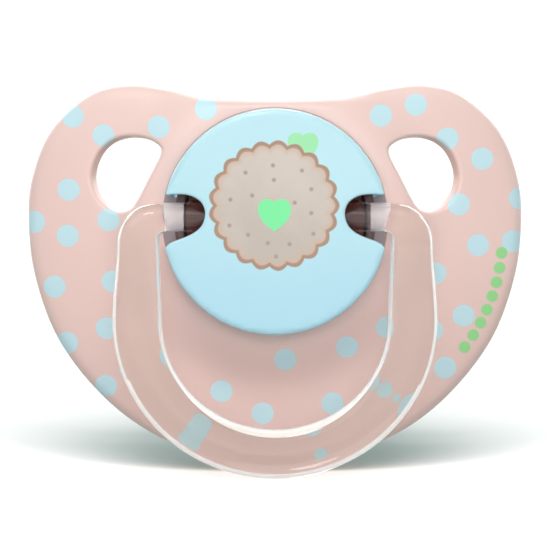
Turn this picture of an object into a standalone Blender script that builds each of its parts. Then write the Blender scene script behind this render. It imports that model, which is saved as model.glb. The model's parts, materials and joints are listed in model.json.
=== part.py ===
"""A baby's pacifier: mouth shield, hollow teat, retaining plug, front cap and swinging clear ring.

Frame: the origin is on the teat's axis, at the middle of the shield's lip side. +X is to the right
seen from the front, +Y runs back along the teat and +Z is up. The ring hangs straight down.
Dimensions are in millimetres, and MM turns them into Blender's metres.
"""

import math

import bmesh
import bpy
import numpy as np
from mathutils import Matrix, Vector

MM = 0.001
MERGE = 0.01 * MM
GAP = 0.3

# Shield: a plate that curves back round the mouth, with a low round boss in the middle.
SHIELD_THICKNESS = 2.0
SHIELD_BEND_X = 52.0
SHIELD_BEND_Z = 55.0
SHIELD_EDGE_ROUND = 0.75
SHIELD_POLE_Z = -4.5
SHIELD_HALF_OUTLINE = [
    (0.0, 11.45), (6.3, 11.75), (10.7, 12.55), (14.4, 12.9), (18.0, 11.95), (21.7, 8.6),
    (23.6, 4.1), (24.0, -0.2), (23.4, -5.6), (21.2, -11.7), (17.2, -17.0), (12.4, -20.8),
    (6.5, -23.25), (0.0, -24.15),
]
SHIELD_SPOKES = 72
SHIELD_RINGS = 7
BOSS_FRONT_Y = -2.6
BOSS_TOP_RADIUS = 11.3
BOSS_FOOT_RADIUS = 13.2
BOSS_FOOT_Y = 0.3
BOSS_INSET = 0.985
OUTLINE_BLOCK_DEPTH = 12.0

# In the boss: the seat of the teat's flange, the hole for its neck, and the collar the cap clips over.
NECK_HOLE_RADIUS = 6.2
FLANGE_SEAT_RADIUS = 8.9
FLANGE_SEAT_Y = -1.1
COLLAR_RADIUS = 9.35
COLLAR_FRONT_Y = -3.8
COLLAR_ROOT_Y = -2.0
SNAP_LIP = 0.15
SNAP_LIP_DEPTH = 0.3
SNAP_LIP_RAMP = 0.15
GRIP_SLACK = 0.1

# Air vents: a rounded D on each side, its straight side towards the cap.
VENT_OUTLINE = [
    (11.2, 6.35), (11.6, 7.1), (12.7, 7.65), (14.1, 7.75), (15.6, 7.2), (16.75, 6.0), (17.3, 4.2),
    (16.95, 2.5), (16.0, 1.25), (15.0, 0.7), (14.2, 0.9), (13.6, 1.6), (12.4, 4.0),
]

# Front cap: a shallow cup whose skirt clips over the shield's collar.
CAP_RADIUS = 10.9
CAP_FRONT_Y = -8.5
CAP_FRONT_THICKNESS = 1.2
CAP_EDGE_ROUND = 0.3
CAP_WALL = 1.1

# Side windows of the cap, through its front and its skirt, where the ring's arms come out.
WINDOW_OUTLINE = [
    (6.75, 0.9), (7.3, 2.2), (8.5, 2.65), (13.0, 2.65), (13.0, -2.6), (10.6, -2.3), (9.8, -1.85),
    (8.8, -1.5), (7.4, -0.8),
]
WINDOW_ROUNDED = [True, True, False, False, False, False, True, True, True]

# Hinge: the ring's stubs lie along X in a cradle between the plug and the cap's ribs.
HINGE_Y = -5.5
HINGE_Z = 0.4
STUB_RADIUS = 1.4
STUB_TIP_X = 4.6
STUB_MIDDLE_X = 8.0
CRADLE_RADIUS = STUB_RADIUS + GAP
SADDLE_INNER_X = 4.3
SADDLE_OUTER_X = 8.1
SADDLE_HALF_HEIGHT = 2.4
RIB_OUTER_X = 6.2
RIB_HALF_HEIGHT = 2.2
RIB_REAR_Y = -5.9

# Plug: clamps the teat's flange into the shield and carries the saddles.
PLUG_RADIUS = FLANGE_SEAT_RADIUS - GAP
PLUG_FRONT_Y = -4.3
SPIGOT_RADIUS = 3.6
SPIGOT_REAR_Y = 2.5

# Teat: neck, then a bulb that is flattened from top to bottom.
TEAT_WALL = 1.6
TEAT_FLANGE_RADIUS = 8.6
TEAT_FLANGE_FRONT_Y = -2.5
TEAT_FLANGE_REAR_Y = FLANGE_SEAT_Y - GAP
TEAT_OUTLINE = [
    (5.6, TEAT_FLANGE_REAR_Y), (5.6, 3.0), (4.9, 7.0), (5.3, 11.5), (6.9, 16.0), (7.9, 20.5), (7.2, 24.8),
    (4.4, 27.7), (0.0, 28.6),
]
TEAT_FLATTEN_START_Y = 4.0
TEAT_FLATTEN_END_Y = 18.0
TEAT_FLATTENING = 0.26

# Ring: stubs, rounded shoulders, nearly straight arms and a half-round bottom.
RING_DEPTH = 3.2
SHOULDER_X = 11.3
SHOULDER_OUTER_RADIUS = 4.0
SHOULDER_INNER_X = 10.5
SHOULDER_INNER_RADIUS = 0.7
RING_BOW_Z = -9.6
RING_BOW_OUTER = (15.75, 15.34)
RING_BOW_INNER = (10.95, 10.54)
RING_SQUARENESS = 4.0
RING_SECTION_SIDES = 16

TURN_STEPS = 56
OVERLAP = 0.5
CUT_MARGIN = 1.0
VENT_CUT_FRONT_Y = -6.0
VENT_CUT_REAR_Y = 8.0


def clear_scene():
    for obj in list(bpy.data.objects):
        bpy.data.objects.remove(obj)


def new_collection(name):
    collection = bpy.data.collections.new(name)
    bpy.context.scene.collection.children.link(collection)
    return collection


def new_material(name, colour, roughness, transmission=0.0):
    material = bpy.data.materials.new(name)
    material.use_nodes = True
    shader = material.node_tree.nodes["Principled BSDF"]
    shader.inputs["Base Color"].default_value = (*colour, 1.0)
    shader.inputs["Roughness"].default_value = roughness
    shader.inputs["Metallic"].default_value = 0.0
    shader.inputs["Transmission Weight"].default_value = transmission
    return material


def add_part(name, mesh, material, collection):
    obj = bpy.data.objects.new(name, mesh)
    obj.data.materials.append(material)
    collection.objects.link(obj)
    return obj


def add_cutter(name, mesh, collection):
    obj = bpy.data.objects.new(name, mesh)
    obj.hide_render = True
    obj.display_type = "WIRE"
    collection.objects.link(obj)
    return obj


def boolean(target, tool, operation):
    modifier = target.modifiers.new(tool.name, "BOOLEAN")
    modifier.object = tool
    modifier.operation = operation
    modifier.solver = "EXACT"


def evaluated_mesh(obj):
    bpy.context.view_layer.update()
    depsgraph = bpy.context.evaluated_depsgraph_get()
    return bpy.data.meshes.new_from_object(obj.evaluated_get(depsgraph))


def profile_mesh(name, profile):
    """A line of (radius, y) points, drawn in local XZ with local Z facing forward."""
    mesh = bpy.data.meshes.new(name)
    points = [Vector((radius, 0.0, -y)) * MM for radius, y in profile]
    mesh.from_pydata(points, [(index, index + 1) for index in range(len(points) - 1)], [])
    return mesh


def turn(obj, steps=TURN_STEPS):
    """Turn the profile round the teat's axis: local +Z becomes world -Y."""
    obj.rotation_euler = (math.radians(90.0), 0.0, 0.0)
    screw = obj.modifiers.new("turn", "SCREW")
    screw.axis = "Z"
    screw.angle = math.tau
    screw.steps = steps
    screw.render_steps = steps
    screw.use_merge_vertices = True
    screw.merge_threshold = MERGE


def box_mesh(name, low, high):
    bm = bmesh.new()
    bmesh.ops.create_cube(bm, size=1.0)
    low = Vector(low)
    high = Vector(high)
    for vert in bm.verts:
        share = vert.co + Vector((0.5, 0.5, 0.5))
        vert.co = Vector(low[i] + (high[i] - low[i]) * share[i] for i in range(3)) * MM
    mesh = bpy.data.meshes.new(name)
    bm.to_mesh(mesh)
    bm.free()
    return mesh


def mirror_x(obj, merge):
    mirror = obj.modifiers.new("mirror", "MIRROR")
    mirror.use_axis = (True, False, False)
    mirror.use_mirror_merge = merge
    mirror.merge_threshold = MERGE


def outline_prism(name, points, rounded, front_y, rear_y, collection):
    """A closed outline of (x, z) points pushed through along Y, with its mirror image across X = 0."""
    curve = bpy.data.curves.new(name + "_outline", "CURVE")
    curve.dimensions = "2D"
    curve.fill_mode = "BOTH"
    curve.extrude = 0.5 * (rear_y - front_y) * MM
    curve.resolution_u = 3
    spline = curve.splines.new("BEZIER")
    spline.bezier_points.add(len(points) - 1)
    for knot, (x, z), smooth in zip(spline.bezier_points, points, rounded):
        knot.co = Vector((x, z, 0.0)) * MM
        knot.handle_left_type = "AUTO" if smooth else "VECTOR"
        knot.handle_right_type = "AUTO" if smooth else "VECTOR"
    spline.use_cyclic_u = True
    guide = bpy.data.objects.new(name + "_outline", curve)
    collection.objects.link(guide)
    guide.rotation_euler = (math.radians(90.0), 0.0, 0.0)
    guide.location = (0.0, 0.5 * (front_y + rear_y) * MM, 0.0)
    mesh = evaluated_mesh(guide)
    bm = bmesh.new()
    bm.from_mesh(mesh)
    bmesh.ops.remove_doubles(bm, verts=bm.verts, dist=MERGE)
    bm.to_mesh(mesh)
    bm.free()
    tool = add_cutter(name, mesh, collection)
    tool.matrix_world = guide.matrix_world
    bpy.data.objects.remove(guide)
    mirror_x(tool, merge=False)
    return tool


def catmull_rom(points, steps, closed):
    """A smooth line through the points, with the given number of steps between two of them."""
    points = [Vector(point) for point in points]
    spans = len(points) if closed else len(points) - 1

    def knot(index):
        if closed:
            return points[index % len(points)]
        return points[min(max(index, 0), len(points) - 1)]

    line = []
    for index in range(spans):
        before, start, end, after = (knot(index + k) for k in (-1, 0, 1, 2))
        for step in range(steps):
            t = step / steps
            line.append(0.5 * (
                2.0 * start
                + (end - before) * t
                + (2.0 * before - 5.0 * start + 4.0 * end - after) * t ** 2
                + (3.0 * start - 3.0 * end + after - before) * t ** 3))
    if not closed:
        line.append(points[-1])
    return line


def shield_reach():
    """The shield's outline as a function: the reach from its pole at an angle from +X."""
    right = SHIELD_HALF_OUTLINE
    left = [(-x, z) for x, z in reversed(right[1:-1])]
    loop = catmull_rom(right + left, steps=8, closed=True)
    angles = [math.atan2(p.y - SHIELD_POLE_Z, p.x) for p in loop]
    reaches = [math.hypot(p.x, p.y - SHIELD_POLE_Z) for p in loop]
    order = np.argsort(angles)
    table = (np.array(angles)[order], np.array(reaches)[order])
    return lambda angle: float(np.interp(angle, *table, period=math.tau))


def shield_bend(x, z):
    """How far the plate has curved back at a place, measured from its middle."""
    return x * x / (2.0 * SHIELD_BEND_X) + z * z / (2.0 * SHIELD_BEND_Z)


def shield_plate_mesh():
    """The plate's middle surface: a grid wrapped into spokes and rings between a hole and the outline."""
    reach = shield_reach()
    hole_radius = 0.5 * NECK_HOLE_RADIUS
    bm = bmesh.new()
    bmesh.ops.create_grid(bm, x_segments=SHIELD_SPOKES, y_segments=SHIELD_RINGS, size=0.5)
    for vert in bm.verts:
        angle = math.tau * (vert.co.x + 0.5)
        share = vert.co.y + 0.5
        direction = Vector((math.cos(angle), math.sin(angle)))
        inner = direction * hole_radius
        outer = direction * reach(angle) + Vector((0.0, SHIELD_POLE_Z))
        x, z = inner.lerp(outer, share)
        vert.co = Vector((x, shield_bend(x, z) - 0.5 * SHIELD_THICKNESS, z)) * MM
    bmesh.ops.remove_doubles(bm, verts=bm.verts, dist=MERGE)
    mesh = bpy.data.meshes.new("shield")
    bm.to_mesh(mesh)
    bm.free()
    return mesh


def outline_block_mesh():
    """A block with the shield's outline, a little inset, that keeps the boss inside the plate's edge."""
    reach = shield_reach()
    bm = bmesh.new()
    along_y = Matrix.Rotation(math.radians(90.0), 4, "X")
    bmesh.ops.create_cone(
        bm, cap_ends=True, segments=SHIELD_SPOKES, radius1=1.0, radius2=1.0, depth=OUTLINE_BLOCK_DEPTH,
        matrix=along_y)
    for vert in bm.verts:
        angle = math.atan2(vert.co.z, vert.co.x)
        radius = BOSS_INSET * reach(angle)
        vert.co = Vector((radius * math.cos(angle), vert.co.y, radius * math.sin(angle) + SHIELD_POLE_Z)) * MM
    mesh = bpy.data.meshes.new("boss_limit")
    bm.to_mesh(mesh)
    bm.free()
    return mesh


def build_shield(parts, cutters):
    pink = new_material("shield_pink", (0.83, 0.56, 0.48), 0.35)
    shield = add_part("shield", shield_plate_mesh(), pink, parts)
    solidify = shield.modifiers.new("thickness", "SOLIDIFY")
    solidify.thickness = SHIELD_THICKNESS * MM
    solidify.offset = 0.0
    bevel = shield.modifiers.new("edge_round", "BEVEL")
    bevel.width = SHIELD_EDGE_ROUND * MM
    bevel.segments = 2
    bevel.limit_method = "ANGLE"
    bevel.angle_limit = math.radians(60.0)

    boss_profile = [
        (0.0, BOSS_FRONT_Y),
        (BOSS_TOP_RADIUS, BOSS_FRONT_Y),
        (BOSS_FOOT_RADIUS, BOSS_FOOT_Y),
        (0.0, -0.6 * SHIELD_THICKNESS),
    ]
    boss = add_cutter("boss_form", profile_mesh("boss_form", boss_profile), cutters)
    turn(boss)
    limit = add_cutter("boss_limit", outline_block_mesh(), cutters)
    boolean(boss, limit, "INTERSECT")
    boolean(shield, boss, "UNION")

    collar_profile = [
        (0.0, COLLAR_FRONT_Y),
        (COLLAR_RADIUS + SNAP_LIP, COLLAR_FRONT_Y),
        (COLLAR_RADIUS + SNAP_LIP, COLLAR_FRONT_Y + SNAP_LIP_DEPTH),
        (COLLAR_RADIUS, COLLAR_FRONT_Y + SNAP_LIP_DEPTH + SNAP_LIP_RAMP),
        (COLLAR_RADIUS, COLLAR_ROOT_Y),
        (0.0, COLLAR_ROOT_Y),
    ]
    collar = add_cutter("collar_form", profile_mesh("collar_form", collar_profile), cutters)
    turn(collar)
    boolean(shield, collar, "UNION")

    seat_profile = [
        (0.0, COLLAR_FRONT_Y - CUT_MARGIN),
        (FLANGE_SEAT_RADIUS, COLLAR_FRONT_Y - CUT_MARGIN),
        (FLANGE_SEAT_RADIUS, FLANGE_SEAT_Y),
        (NECK_HOLE_RADIUS, FLANGE_SEAT_Y),
        (NECK_HOLE_RADIUS, SHIELD_THICKNESS),
        (0.0, SHIELD_THICKNESS),
    ]
    seat = add_cutter("teat_seat_cut", profile_mesh("teat_seat_cut", seat_profile), cutters)
    turn(seat)
    boolean(shield, seat, "DIFFERENCE")

    smooth = [True] * len(VENT_OUTLINE)
    vents = outline_prism("vent_cut", VENT_OUTLINE, smooth, VENT_CUT_FRONT_Y, VENT_CUT_REAR_Y, cutters)
    boolean(shield, vents, "DIFFERENCE")


def build_teat(parts):
    """A hollow bulb on a neck, open at the front, with a flange that the plug clamps."""
    silicone = new_material("teat_silicone", (0.93, 0.90, 0.83), 0.35, transmission=0.6)
    outer = [tuple(point) for point in catmull_rom(TEAT_OUTLINE, steps=2, closed=False)]
    neck_radius = outer[0][0]
    tip_y = outer[-1][1]
    inner = [(radius - TEAT_WALL, y) for radius, y in reversed(outer[1:]) if radius > 2.0 * TEAT_WALL]
    profile = [(0.0, tip_y - TEAT_WALL)]
    profile += inner
    profile += [
        (neck_radius - TEAT_WALL, TEAT_FLANGE_FRONT_Y),
        (TEAT_FLANGE_RADIUS, TEAT_FLANGE_FRONT_Y),
        (TEAT_FLANGE_RADIUS, TEAT_FLANGE_REAR_Y),
    ]
    profile += outer
    turned = bpy.data.objects.new("teat_profile", profile_mesh("teat", profile))
    parts.objects.link(turned)
    turn(turned, steps=36)
    mesh = evaluated_mesh(turned)
    bpy.data.objects.remove(turned)
    mesh.transform(Matrix.Rotation(math.radians(90.0), 4, "X"))
    span = TEAT_FLATTEN_END_Y - TEAT_FLATTEN_START_Y
    for vert in mesh.vertices:
        share = (vert.co.y / MM - TEAT_FLATTEN_START_Y) / span
        share = min(max(share, 0.0), 1.0)
        vert.co.z *= 1.0 - TEAT_FLATTENING * share * share * (3.0 - 2.0 * share)
    add_part("teat", mesh, silicone, parts)


def hinge_cradle_cut(cutters):
    """A rod along the hinge axis, a running gap wider than the stubs."""
    bm = bmesh.new()
    turned_to_x = Matrix.Rotation(math.radians(90.0), 4, "Y")
    place = Matrix.Translation(Vector((0.0, HINGE_Y, HINGE_Z)) * MM) @ turned_to_x
    bmesh.ops.create_cone(
        bm, cap_ends=True, segments=24, radius1=CRADLE_RADIUS * MM, radius2=CRADLE_RADIUS * MM,
        depth=2.0 * (PLUG_RADIUS + CUT_MARGIN) * MM, matrix=place)
    mesh = bpy.data.meshes.new("hinge_cradle_cut")
    bm.to_mesh(mesh)
    bm.free()
    return add_cutter("hinge_cradle_cut", mesh, cutters)


def build_plug(parts, cutters, cradle):
    plum = new_material("plug_plum", (0.27, 0.10, 0.08), 0.45)
    front_of_flange = TEAT_FLANGE_FRONT_Y - GAP
    profile = [
        (0.0, PLUG_FRONT_Y),
        (PLUG_RADIUS, PLUG_FRONT_Y),
        (PLUG_RADIUS, front_of_flange),
        (SPIGOT_RADIUS, front_of_flange),
        (SPIGOT_RADIUS, SPIGOT_REAR_Y),
        (0.0, SPIGOT_REAR_Y),
    ]
    plug = add_part("teat_plug", profile_mesh("teat_plug", profile), plum, parts)
    turn(plug)
    low = (SADDLE_INNER_X, HINGE_Y, HINGE_Z - SADDLE_HALF_HEIGHT)
    high = (SADDLE_OUTER_X, PLUG_FRONT_Y + OVERLAP, HINGE_Z + SADDLE_HALF_HEIGHT)
    saddles = add_cutter("saddle_form", box_mesh("saddle_form", low, high), cutters)
    mirror_x(saddles, merge=False)
    boolean(plug, saddles, "UNION")
    boolean(plug, cradle, "DIFFERENCE")


def build_cap(parts, cutters, cradle):
    blue = new_material("cap_blue", (0.55, 0.80, 0.88), 0.2)
    round_start = CAP_RADIUS - CAP_EDGE_ROUND
    inner_y = CAP_FRONT_Y + CAP_FRONT_THICKNESS
    skirt_end_y = BOSS_FRONT_Y - GAP
    skirt_inner = CAP_RADIUS - CAP_WALL
    profile = [(0.0, CAP_FRONT_Y)]
    for step in range(4):
        angle = math.radians(90.0 - 30.0 * step)
        radius = round_start + CAP_EDGE_ROUND * math.cos(angle)
        profile.append((radius, CAP_FRONT_Y + CAP_EDGE_ROUND * (1.0 - math.sin(angle))))
    profile += [
        (CAP_RADIUS, skirt_end_y),
        (skirt_inner - SNAP_LIP, skirt_end_y),
        (skirt_inner - SNAP_LIP, skirt_end_y - SNAP_LIP_DEPTH + GRIP_SLACK),
        (skirt_inner, skirt_end_y - SNAP_LIP_DEPTH - SNAP_LIP_RAMP + GRIP_SLACK),
        (skirt_inner, inner_y),
        (0.0, inner_y),
    ]
    cap = add_part("front_cap", profile_mesh("front_cap", profile), blue, parts)
    turn(cap)
    low = (SADDLE_INNER_X, inner_y - OVERLAP, HINGE_Z - RIB_HALF_HEIGHT)
    high = (RIB_OUTER_X, RIB_REAR_Y, HINGE_Z + RIB_HALF_HEIGHT)
    ribs = add_cutter("rib_form", box_mesh("rib_form", low, high), cutters)
    mirror_x(ribs, merge=False)
    boolean(cap, ribs, "UNION")
    windows = outline_prism(
        "window_cut", WINDOW_OUTLINE, WINDOW_ROUNDED, CAP_FRONT_Y - CUT_MARGIN, BOSS_FRONT_Y + CUT_MARGIN,
        cutters)
    boolean(cap, windows, "DIFFERENCE")
    boolean(cap, cradle, "DIFFERENCE")


def ring_stations():
    """Outer edge, inner edge, depth and squareness of each section of the right half, tip to lowest point."""
    stub_top = HINGE_Z + STUB_RADIUS
    stub_bottom = HINGE_Z - STUB_RADIUS
    stations = []
    for x in (STUB_TIP_X, STUB_MIDDLE_X):
        stations.append(((x, stub_top), (x, stub_bottom), 2.0 * STUB_RADIUS, 2.0))
    turns = 5
    for step in range(turns + 1):
        share = step / turns
        angle = math.radians(90.0 * (1.0 - share))
        outer = (
            SHOULDER_X + SHOULDER_OUTER_RADIUS * math.cos(angle),
            stub_top - SHOULDER_OUTER_RADIUS * (1.0 - math.sin(angle)))
        inner = (
            SHOULDER_INNER_X + SHOULDER_INNER_RADIUS * math.cos(angle),
            stub_bottom - SHOULDER_INNER_RADIUS * (1.0 - math.sin(angle)))
        depth = 2.0 * STUB_RADIUS + (RING_DEPTH - 2.0 * STUB_RADIUS) * share
        stations.append((outer, inner, depth, 2.0 + (RING_SQUARENESS - 2.0) * share))
    bow_steps = 9
    for step in range(bow_steps + 1):
        angle = math.radians(-90.0 * step / bow_steps)
        across = math.cos(angle) if step < bow_steps else 0.0
        outer = (RING_BOW_OUTER[0] * across, RING_BOW_Z + RING_BOW_OUTER[1] * math.sin(angle))
        inner = (RING_BOW_INNER[0] * across, RING_BOW_Z + RING_BOW_INNER[1] * math.sin(angle))
        stations.append((outer, inner, RING_DEPTH, RING_SQUARENESS))
    return stations


def section_point(angle, squareness):
    """A point of a unit superellipse: round at squareness 2, flatter-sided above it."""
    power = 2.0 / squareness
    across, along = math.cos(angle), math.sin(angle)
    return math.copysign(abs(across) ** power, across), math.copysign(abs(along) ** power, along)


def ring_half_mesh():
    """Rounded sections between the ring's outer and inner edges, joined one to the next."""
    hinge = Vector((0.0, HINGE_Y, HINGE_Z))
    bm = bmesh.new()
    rows = []
    for outer, inner, depth, squareness in ring_stations():
        middle = Vector((outer[0] + inner[0], 2.0 * HINGE_Y, outer[1] + inner[1])) * 0.5
        across = Vector((outer[0] - inner[0], 0.0, outer[1] - inner[1])) * 0.5
        row = []
        for side in range(RING_SECTION_SIDES):
            u, v = section_point(math.tau * side / RING_SECTION_SIDES, squareness)
            point = middle + across * u + Vector((0.0, 0.5 * depth * v, 0.0))
            row.append(bm.verts.new((point - hinge) * MM))
        rows.append(row)
    for row, following in zip(rows, rows[1:]):
        for side in range(RING_SECTION_SIDES):
            after = (side + 1) % RING_SECTION_SIDES
            bm.faces.new((row[side], row[after], following[after], following[side]))
    bm.faces.new(rows[0])
    bmesh.ops.recalc_face_normals(bm, faces=bm.faces)
    mesh = bpy.data.meshes.new("ring")
    bm.to_mesh(mesh)
    bm.free()
    return mesh


def build_ring(parts):
    clear = new_material("ring_clear", (0.96, 0.96, 0.95), 0.05, transmission=1.0)
    ring = add_part("ring", ring_half_mesh(), clear, parts)
    ring.location = Vector((0.0, HINGE_Y, HINGE_Z)) * MM
    mirror_x(ring, merge=True)


def shade_round_pieces(parts):
    for obj in parts.objects:
        obj.data.shade_smooth()
        obj.data.set_sharp_from_angle(angle=math.radians(35.0))


def main():
    clear_scene()
    parts = new_collection("pacifier")
    cutters = new_collection("cutters")
    cradle = hinge_cradle_cut(cutters)
    build_shield(parts, cutters)
    build_teat(parts)
    build_plug(parts, cutters, cradle)
    build_cap(parts, cutters, cradle)
    build_ring(parts)
    shade_round_pieces(parts)


main()
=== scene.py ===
"""The looks of a baby's pacifier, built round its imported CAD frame.

Every piece is drawn in millimetres, in the CAD's own frame: the origin on the teat's axis at the
shield's lip side, +X to the right seen from the front, +Y back along the teat, +Z up.
"""

import json
import math

import bmesh
import bpy
import numpy as np
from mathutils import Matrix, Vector
from mathutils.geometry import delaunay_2d_cdt


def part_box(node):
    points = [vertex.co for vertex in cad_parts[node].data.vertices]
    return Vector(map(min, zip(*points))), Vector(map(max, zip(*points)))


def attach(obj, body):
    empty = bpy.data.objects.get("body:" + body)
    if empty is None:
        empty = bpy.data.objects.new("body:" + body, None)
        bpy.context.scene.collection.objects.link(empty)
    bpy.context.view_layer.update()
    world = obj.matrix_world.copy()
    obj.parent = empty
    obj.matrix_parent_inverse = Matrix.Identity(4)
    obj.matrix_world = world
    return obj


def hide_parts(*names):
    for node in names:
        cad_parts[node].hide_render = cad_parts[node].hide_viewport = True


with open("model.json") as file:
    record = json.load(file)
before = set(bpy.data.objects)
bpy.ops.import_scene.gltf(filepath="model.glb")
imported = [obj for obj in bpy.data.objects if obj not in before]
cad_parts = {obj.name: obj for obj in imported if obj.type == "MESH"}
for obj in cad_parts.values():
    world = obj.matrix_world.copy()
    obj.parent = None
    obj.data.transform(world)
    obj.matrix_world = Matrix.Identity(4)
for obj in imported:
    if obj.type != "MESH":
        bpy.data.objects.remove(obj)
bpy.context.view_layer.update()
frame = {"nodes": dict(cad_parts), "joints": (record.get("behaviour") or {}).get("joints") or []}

MM = 0.001
ROOT_BODY = "shield_body"
RING_BODY = "ring_body"


def box_mm(node):
    low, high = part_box(node)
    return np.array(low) / MM, np.array(high) / MM


CAP_LOW, CAP_HIGH = box_mm("front_cap")
RING_LOW, RING_HIGH = box_mm("ring")
TEAT_LOW, TEAT_HIGH = box_mm("teat")
HINGE_Y, HINGE_Z = (value / MM for value in frame["joints"][0]["pos_m"][1:])

# Shield: the plate's outline (x, z) on the right half, its bend, its vents, and the boss that
# swells up under the cap. Each edge is rounded over a width on the front and one on the back.
SHIELD_THICKNESS = 2.0
SHIELD_BEND_X = 52.0
SHIELD_BEND_Z = 55.0
SHIELD_HALF_OUTLINE = [
    (0.0, 11.6), (6.3, 11.8), (10.7, 12.55), (14.4, 12.9), (18.0, 11.95), (21.7, 8.6),
    (23.6, 4.1), (24.0, -0.2), (23.4, -5.6), (21.2, -11.7), (17.2, -17.0), (12.4, -20.8),
    (6.5, -23.25), (0.0, -24.15),
]
VENT_OUTLINE = [
    (10.95, 6.45), (11.35, 7.25), (12.6, 7.8), (14.3, 7.9), (15.9, 7.35), (17.05, 6.1), (17.63, 4.25),
    (17.27, 2.5), (16.3, 1.25), (15.15, 0.7), (14.1, 0.9), (13.4, 1.6), (12.15, 4.0),
]
BOSS_FRONT_Y = -2.6
BOSS_RADIUS = 11.2
BOSS_FADE_RADIUS = 17.5
SHIELD_EDGE_ROUND = 1.5
SHIELD_TOP_EDGE_ROUND = 0.8
SHIELD_BACK_EDGE_ROUND = 1.0
VENT_EDGE_ROUND = 0.4
VENT_BACK_EDGE_ROUND = 0.3
CENTRE_EDGE_ROUND = 0.6

# The collar in the middle of the shield, as (radius, y) from the boss round to the lip side.
COLLAR_PROFILE = [
    (9.35, -2.6), (9.35, -3.35), (9.5, -3.5), (9.5, -3.7), (9.4, -3.8), (9.0, -3.8), (8.9, -3.7),
    (8.9, -1.15), (8.85, -1.1), (6.25, -1.1), (6.2, -1.05), (6.2, -0.4), (6.35, -0.1), (6.7, 0.0),
]
COLLAR_START_RADIUS = 9.6
COLLAR_STEPS = 160
# The collar's seat under the cap, its first strips, is coloured dark as painted shade.
PAINTED_SHADE_SEAT_ROWS = 11

# Cap: a cup with a softly rounded front edge; the window is open to the skirt's end.
CAP_RADIUS = 0.5 * (CAP_HIGH[2] - CAP_LOW[2])
CAP_FRONT_Y = CAP_LOW[1]
CAP_REAR_Y = CAP_HIGH[1]
CAP_EDGE_ROUND = 0.3
CAP_CROWN = 0.25
CAP_WALL = 1.1
WINDOW_EDGE_ROUND = 0.22
WINDOW_OUTLINE = [
    (10.3, 2.6), (9.6, 2.68), (8.7, 2.66), (7.9, 2.45), (7.15, 1.95), (6.8, 1.25), (6.78, 0.5),
    (7.05, -0.3), (7.6, -0.88), (8.2, -1.24), (8.8, -1.5), (9.4, -1.72), (9.95, -1.95),
    (10.4, -2.2), (10.8, -2.5),
]

# Teat: the same line as the CAD's, drawn finer.
TEAT_WALL = 1.6
TEAT_FLANGE_FRONT_Y = TEAT_LOW[1]
TEAT_FLANGE_REAR_Y = -1.4
TEAT_FLANGE_RADIUS = 0.5 * (TEAT_HIGH[0] - TEAT_LOW[0])
TEAT_RIM = 0.25
TEAT_TURN_STEPS = 96
TEAT_OUTLINE = [
    (5.6, TEAT_FLANGE_REAR_Y), (5.6, 3.0), (4.9, 7.0), (5.3, 11.5), (6.9, 16.0), (7.9, 20.5),
    (7.2, 24.8), (4.4, 27.7), (0.0, TEAT_HIGH[1]),
]
TEAT_FLATTEN_START_Y = 4.0
TEAT_FLATTEN_END_Y = 18.0
TEAT_FLATTENING = 0.26

# Ring: stubs on the hinge axis, rounded shoulders, nearly straight arms, a half-round bow.
STUB_RADIUS = 1.4
STUB_TIP_X = 4.6
STUB_DOME = 0.5
RING_DEPTH = RING_HIGH[1] - RING_LOW[1]
SHOULDER_X = 11.3
SHOULDER_OUTER_RADIUS = 4.0
SHOULDER_INNER_X = 10.5
SHOULDER_INNER_RADIUS = 0.7
RING_BOW_Z = -9.6
RING_BOW_OUTER = (RING_HIGH[0], RING_BOW_Z - RING_LOW[2])
RING_BOW_INNER = (10.95, 10.54)
ROUND = 2.0
RING_SQUARENESS = 3.0
RING_SECTION_SIDES = 48
DOME_STEPS, STUB_STEPS, SHOULDER_STEPS, ARM_STEPS, BOW_STEPS = 6, 13, 24, 16, 48

# The ring's corners, as degrees round its section from its plane, and its cuffs.
# The corners are white as a painted highlight along the ring's edges.
CORNER_FROM_DEG = 15.0
CORNER_TO_DEG = 38.0
OUTER_ARM_CORNER_LESS_DEG = 4.0
OUTER_BOW_CORNER_MORE_DEG = 7.0
OUTER_BOW_BELOW_Z = RING_BOW_Z - 6.0
CORNER_GROWN_AT_SQUARENESS = 2.8
# The cuffs are pale pink on the stubs as painted light from the lit shield behind them.
CUFF_FROM_X = 9.2
CUFF_TO_X = 10.9

# Prints, as (x, z) on the front. PRINT_SOFT is half the width over which a print's edge fades.
PRINT_SOFT = 0.07
# Within this radius the shield's front under the cap is coloured dark as painted shade, not a print.
UNDER_CAP_PAINTED_SHADE_RADIUS = 10.95
DOT_RADIUS = 1.08
DOTS = [
    (-19.7, 9.9), (-16.7, 8.1), (-11.3, 9.0), (-20.1, 2.8), (-16.2, -0.1), (-23.5, -0.4), (-20.2, -1.7),
    (-21.5, -6.7), (-15.8, -6.1), (-16.4, -10.7), (-16.5, -16.4), (-5.2, -16.8), (-1.2, -19.0),
    (1.0, -13.6), (7.0, -12.4), (10.9, -10.5), (5.6, -18.0), (15.6, -5.3), (15.3, -10.9),
    (10.4, -16.5), (12.3, -17.8), (16.6, -14.6), (18.4, -9.5), (19.8, -2.6), (23.2, -2.3),
    (17.9, 1.4), (20.2, 5.8), (23.9, 1.9), (16.8, 7.8), (13.7, 11.1), (10.3, 10.1), (-7.6, -20.6),
    (4.6, -23.4), (-14.1, -14.7), (-20.3, -12.2), (-6.7, 10.8),
]
RIM_BEADS_FROM, RIM_BEADS_VIA, RIM_BEADS_TO = (22.1, -3.4), (21.6, -8.6), (18.5, -12.6)
RIM_BEAD_COUNT = 8
RIM_BEAD_RADIUS = 0.58
BISCUIT_CENTRE = (-0.1, 1.62)
BISCUIT_RADIUS = 6.32
BISCUIT_SCALLOPS = 21
BISCUIT_SCALLOP_DEPTH = 0.43
BISCUIT_LINE = 0.4
BISCUIT_CRUST = 0.75
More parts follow.
